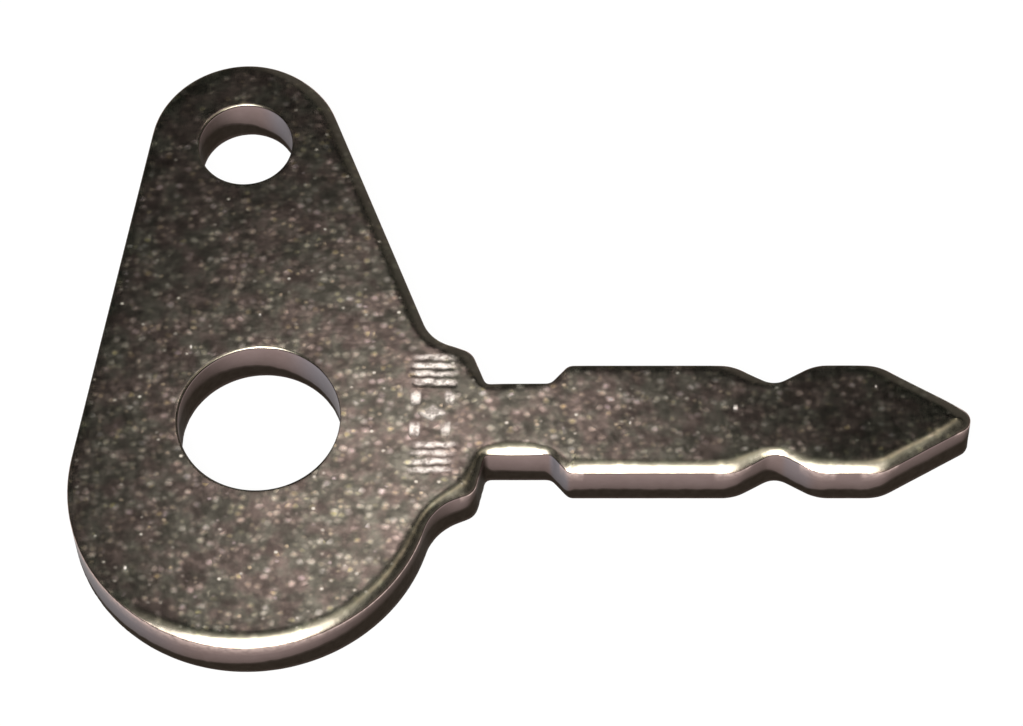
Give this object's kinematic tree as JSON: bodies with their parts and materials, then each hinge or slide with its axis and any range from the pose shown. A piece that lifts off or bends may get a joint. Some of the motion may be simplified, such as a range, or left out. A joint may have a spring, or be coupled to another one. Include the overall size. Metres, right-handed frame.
{
  "type": "flat stamped switch key",
  "caption": "Flat plated key stamped from thick sheet: pear-shaped bow with a finger hole and a ring hole, and a straight pointed blade with a notch on each side.",
  "frame": {"origin": "middle of the key's bounding box, on the flat die-side face that it rests on", "axes": "+X along the blade towards its tip, +Y towards the ring end of the bow, +Z out of the rolled-over face that carries the mark"},
  "size_m": [0.0464, 0.035, 0.003],
  "materials": {
    "nickel_plated_steel": "dull nickel plate with a fine sparkling grain; brighter where the edges are rolled over"
  },
  "bodies": {
    "root": {"stamped_key": "nickel_plated_steel"}
  },
  "joints": []
}
